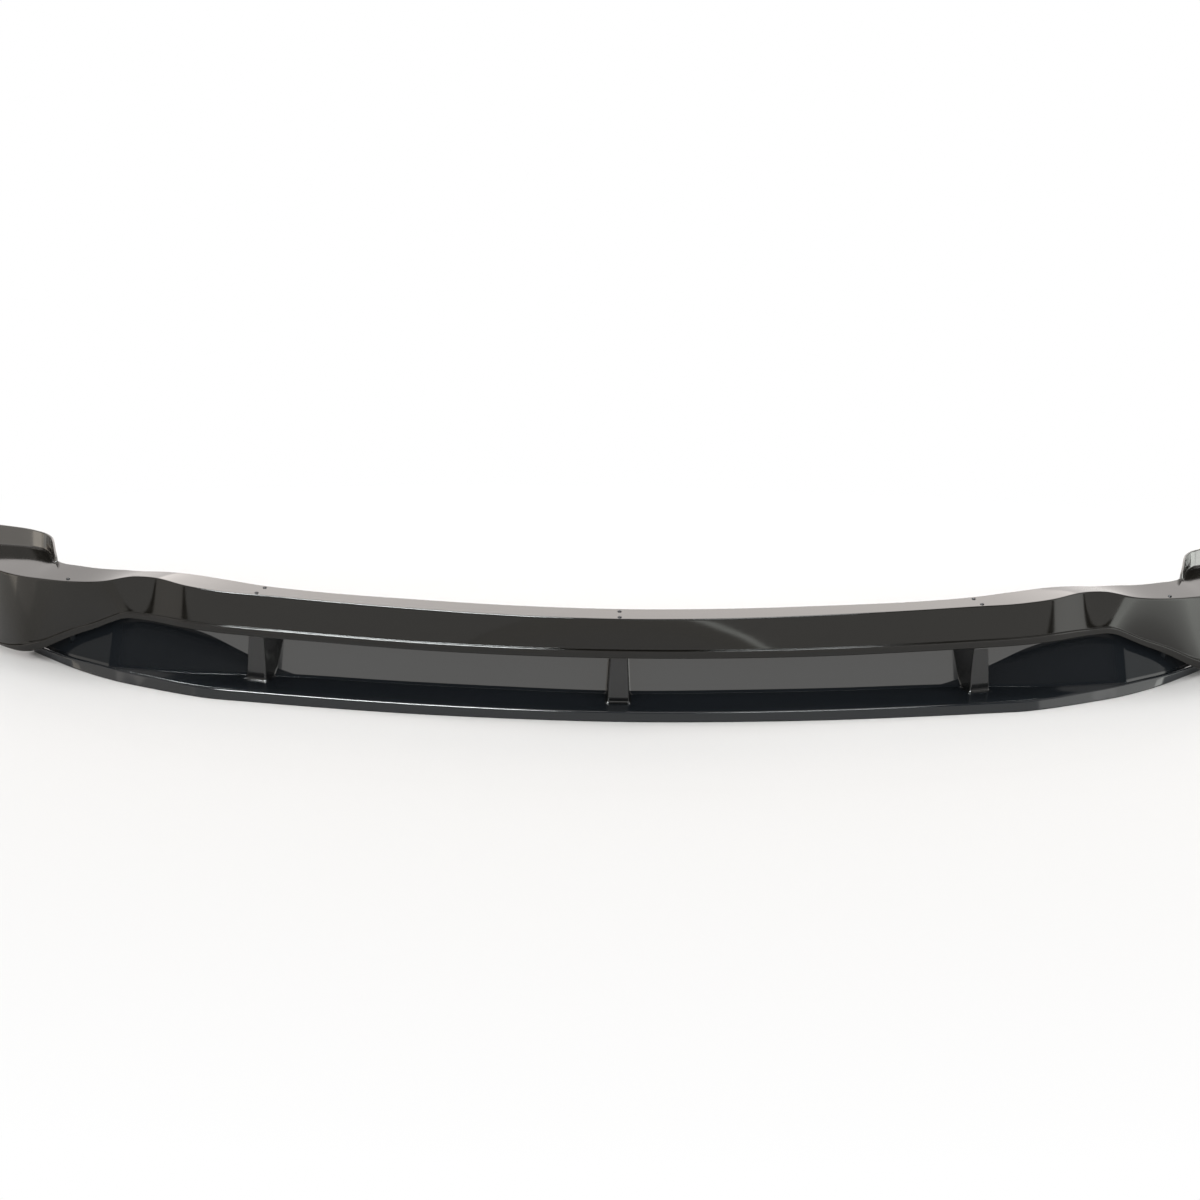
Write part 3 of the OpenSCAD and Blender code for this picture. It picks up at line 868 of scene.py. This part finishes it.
@dataclass
class OuterBosses:
    """The two round posts that carry the outer screws between the end facets and the lip."""

    tray: LowerSplitter
    x: float = 675.0
    diameter: float = 9.0
    seat: float = 0.4
    gap: float = 0.5

    def build(self) -> None:
        """Makes both posts: stacked circles from the end facet up to the lip."""
        lip, tray, at = self.tray.lip, self.tray, np.array([self.x])
        front = float(lip.top.at(at)[0])
        radius = self.diameter / 2
        y = front + lip.wall * math.hypot(1, float(lip.top.steep(at)[0])) + radius + self.gap
        back = float(lip.rear.at(at)[0])
        share = (y - front) / (back - front)
        above = float((lip.top_z.at(at) * (1 - share) + lip.rear_z.at(at) * share)[0])
        foot = tray.floor + (y - radius - float(tray.facet_foot(at)[0])) * tray.facet_rise - 1.0
        z = np.linspace(foot, above - lip.wall - self.seat, 14)
        turn = np.linspace(0, 2 * np.pi, 40, endpoint=False)
        ring = radius * np.column_stack([np.cos(turn), np.sin(turn)]) + (self.x, y)
        post = stack(z, np.stack([ring] * len(z)))
        obj = make_object("outer_bosses", [post, post.mirrored()])
        dress(obj, Finish.TRAY)
        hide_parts("lower_splitter")


def dress(obj: bpy.types.Object, finish: Finish) -> None:
    """Gives a new piece its finish and ties it to the part.

    Args:
        obj: the piece.
        finish: its finish.
    """
    material = bpy.data.materials.get(finish.value.name) or finish.value.material()
    obj.data.materials.clear()
    obj.data.materials.append(material)
    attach(obj, BODY)
    LOG.info("%s: %d faces, %s", obj.name, len(obj.data.polygons), material.name)


def dress_screws(nodes: dict[str, bpy.types.Object]) -> None:
    """Gives the CAD screws their black coated steel."""
    material = Finish.SCREWS.value.material()
    for name, obj in nodes.items():
        if name.startswith("screw_"):
            for slot in obj.material_slots:
                slot.material = material
            if not obj.material_slots:
                obj.data.materials.append(material)
            LOG.info("%s: %s", name, material.name)


# Studio and camera


@dataclass(frozen=True)
class Card:
    """A soft rectangular light that also shows in the gloss, in metres."""

    name: str
    centre: tuple[float, float, float]
    aim: tuple[float, float, float]
    size: tuple[float, float]
    radiance: float
    colour: tuple[float, float, float] = (1.0, 1.0, 1.0)
    lights_floor: bool = True

    def build(self) -> None:
        """Adds the lamp: its power is radiance times area times pi."""
        lamp = bpy.data.lights.new(self.name, "AREA")
        lamp.shape = "RECTANGLE"
        lamp.size, lamp.size_y = self.size
        lamp.color = self.colour
        lamp.energy = self.radiance * self.size[0] * self.size[1] * math.pi
        obj = bpy.data.objects.new(self.name, lamp)
        obj.location = self.centre
        towards = Vector(self.aim) - Vector(self.centre)
        obj.rotation_euler = towards.to_track_quat("-Z", "Y").to_euler()
        obj.visible_camera, obj.visible_diffuse = False, self.lights_floor
        bpy.context.scene.collection.objects.link(obj)


@dataclass(frozen=True)
class Studio:
    """Pale floor, white surroundings and soft cards.

    The floor is plain and takes the shadow near the part. From fade_start to fade_end, in
    metres and with x counted by half, it turns into the white of the surroundings. For the
    gloss it glows there with far_glow. Beyond side_start to side_end it glows brighter, for
    the gloss only: a painted reflection, a light patch for the right leg to mirror.
    """

    floor_size: float = 40.0
    floor_albedo: float = 0.72
    fill: float = 0.34
    dark: float = 0.05
    far_glow: tuple[float, float, float] = (0.95, 0.92, 0.86)
    # Painted reflection: the floor's bright glow on the right, seen in the gloss only.
    painted_reflection_glow: tuple[float, float, float] = (3.6, 3.7, 3.5)
    side_start: float = 0.70
    side_end: float = 0.98
    fade_start: float = 0.36
    fade_end: float = 0.95
    cards: tuple[Card, ...] = (
        Card("front_card", (0.0, -4.6, 1.85), (0.0, -0.1, 0.5), (13.0, 3.7), 1.02, (1.0, 0.98, 0.94)),
        Card("right_front_card", (6.2, -1.9, 1.85), (0.7, 0.0, 0.5), (3.6, 3.7), 2.5, (1.0, 1.0, 0.96)),
        Card("left_front_card", (-6.2, -1.9, 1.85), (-0.7, 0.0, 0.5), (3.6, 3.7), 1.15, (1.0, 0.95, 0.88)),
        Card("right_card", (5.6, 0.9, 0.45), (0.7, 0.0, 0.1), (3.6, 0.9), 2.4, (0.97, 1.0, 0.95)),
        Card("left_card", (-5.6, 0.9, 0.45), (-0.7, 0.0, 0.1), (3.6, 0.9), 1.2, (1.0, 0.9, 0.75)),
        Card("rear_card", (0.0, 4.9, 2.3), (0.0, 0.0, 0.8), (3.8, 4.5), 2.35, (1.0, 0.94, 0.90)),
        Card("rear_left_card", (-3.4, 4.9, 2.3), (-3.4, 0.0, 0.8), (3.0, 4.5), 1.4, (1.0, 0.95, 0.92)),
        Card("rear_right_card", (3.4, 4.9, 2.3), (3.4, 0.0, 0.8), (3.0, 4.5), 1.6, (1.0, 0.95, 0.92)),
        Card("top_card", (0.0, 1.7, 4.0), (0.0, 0.0, 0.0), (3.6, 2.4), 4.2),
        Card("left_high_card", (-3.3, 0.2, 3.2), (-0.8, 0.0, 0.1), (3.2, 2.6), 1.0, (1.0, 0.96, 0.92)),
        Card("right_high_card", (3.3, 0.2, 3.2), (0.8, 0.0, 0.1), (3.2, 2.6), 0.9, (1.0, 0.98, 0.95)),
        Card(
            "line_card_left", (-1.45, -1.25, 3.6), (-0.4, 0.0, 0.1), (2.2, 0.8), 110.0, (0.95, 1.0, 1.0),
            lights_floor=False,
        ),
        Card(
            "line_card_right", (1.3, -1.25, 3.6), (0.4, 0.0, 0.1), (1.2, 0.7), 30.0, (0.95, 1.0, 1.0),
            lights_floor=False,
        ),
    )

    def floor(self) -> None:
        """A large level floor that fades to the white of the surroundings with distance."""
        h = self.floor_size / 2
        mesh = bpy.data.meshes.new("floor")
        mesh.from_pydata([(-h, -h, 0), (h, -h, 0), (h, h, 0), (-h, h, 0)], [], [(0, 1, 2, 3)])
        obj = bpy.data.objects.new("floor", mesh)
        bpy.context.scene.collection.objects.link(obj)
        g = Graph("pale_floor")
        albedo = self.floor_albedo
        shader = g.add("ShaderNodeBsdfDiffuse", {"Color": (albedo, albedo, albedo, 1.0)})
        place = g.add("ShaderNodeTexCoord").outputs["Object"]
        rays = g.add("ShaderNodeLightPath").outputs
        across = g.add("ShaderNodeSeparateXYZ", {0: place}).outputs["X"]
        # Painted reflection: beyond side_start the floor glows brighter for gloss rays only, so that the
        # right leg mirrors a light patch that no lamp gives.
        side = g.ramp(across, self.side_start, self.side_end, 0.0, 1.0)
        seen = {0: side, 1: rays["Is Glossy Ray"]}
        painted_reflection_mask = g.add("ShaderNodeMath", seen, operation="MULTIPLY").outputs[0]
        glow, right = (*self.far_glow, 1.0), (*self.painted_reflection_glow, 1.0)
        around = g.add("ShaderNodeMix", {0: painted_reflection_mask, 6: glow, 7: right}, data_type="RGBA").outputs[2]
        shown = {0: rays["Is Camera Ray"], 6: around, 7: (1, 1, 1, 1)}
        tone = g.add("ShaderNodeMix", shown, data_type="RGBA").outputs[2]
        white = g.add("ShaderNodeEmission", {"Color": tone, "Strength": 1.0})
        halved = {0: place, 1: (0.5, 1.0, 1.0)}
        shape = g.add("ShaderNodeVectorMath", halved, operation="MULTIPLY").outputs[0]
        far = g.add("ShaderNodeVectorMath", {0: shape}, operation="LENGTH").outputs["Value"]
        fade = g.ramp(far, self.fade_start, self.fade_end, 0.0, 1.0)
        mix = g.add("ShaderNodeMixShader", {0: fade, 1: shader.outputs[0], 2: white.outputs[0]})
        g.add("ShaderNodeOutputMaterial", {"Surface": mix.outputs[0]})
        mesh.materials.append(g.material)

    def world(self) -> None:
        """White for the camera, dark for the gloss between the cards, even fill for the rest."""
        world = bpy.data.worlds.new("studio")
        world.use_nodes = True
        bpy.context.scene.world = world
        nodes, links = world.node_tree.nodes, world.node_tree.links
        nodes.clear()
        path = nodes.new("ShaderNodeLightPath")
        level: float | bpy.types.NodeSocket = self.fill
        for ray, value in (("Is Glossy Ray", self.dark), ("Is Camera Ray", 1.0)):
            choose = nodes.new("ShaderNodeMix")
            links.new(path.outputs[ray], choose.inputs[0])
            if isinstance(level, float):
                choose.inputs[2].default_value = level
            else:
                links.new(level, choose.inputs[2])
            choose.inputs[3].default_value = value
            level = choose.outputs[0]
        back = nodes.new("ShaderNodeBackground")
        back.inputs["Color"].default_value = (1, 1, 1, 1)
        links.new(level, back.inputs["Strength"])
        out = nodes.new("ShaderNodeOutputWorld")
        links.new(back.outputs[0], out.inputs["Surface"])

    def build(self) -> None:
        """Sets up floor, surroundings, cards and the plain view transform."""
        bpy.context.scene.view_settings.view_transform = "Standard"
        self.floor()
        self.world()
        for card in self.cards:
            card.build()


@dataclass(frozen=True)
class PhotoCamera:
    """The photograph's viewpoint, in the part's frame."""

    place: tuple[float, float, float] = (-0.0215, -1.8114, 0.6756)
    yaw: float = -0.04392
    pitch: float = 17.97821
    roll: float = 0.0155
    lens: float = 46.5

    def build(self) -> None:
        """Adds the camera: yaw and pitch in degrees aim it, roll in radians turns it about its view."""
        yaw, pitch = math.radians(self.yaw), math.radians(self.pitch)
        ahead = Vector(
            (math.sin(yaw) * math.cos(pitch), math.cos(yaw) * math.cos(pitch), -math.sin(pitch))
        )
        right = Vector((math.cos(yaw), -math.sin(yaw), 0))
        up = right.cross(ahead)
        c, s = math.cos(self.roll), math.sin(self.roll)
        right, up = c * right + s * up, c * up - s * right
        data = bpy.data.cameras.new("camera")
        data.lens, data.sensor_width = self.lens, 36.0
        data.clip_start, data.clip_end = 0.05, 60.0
        obj = bpy.data.objects.new("camera", data)
        turn = Matrix((right, up, -ahead)).transposed().to_4x4()
        obj.matrix_world = Matrix.Translation(self.place) @ turn
        bpy.context.scene.collection.objects.link(obj)
        bpy.context.scene.camera = obj


# Order of work


def main() -> None:
    """Loads the frame, builds the camera, the studio and every piece."""
    logging.basicConfig(level=logging.INFO, format="%(message)s")
    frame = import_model()
    PhotoCamera().build()
    Studio().build()
    lip = UpperLip()
    lip.build()
    tray = LowerSplitter(lip)
    tray.build()
    for side in (-1, 0, 1):
        Fin(tray, side).build()
    OuterBosses(tray).build()
    dress_screws(frame["nodes"])


if __name__ == "__main__":
    main()
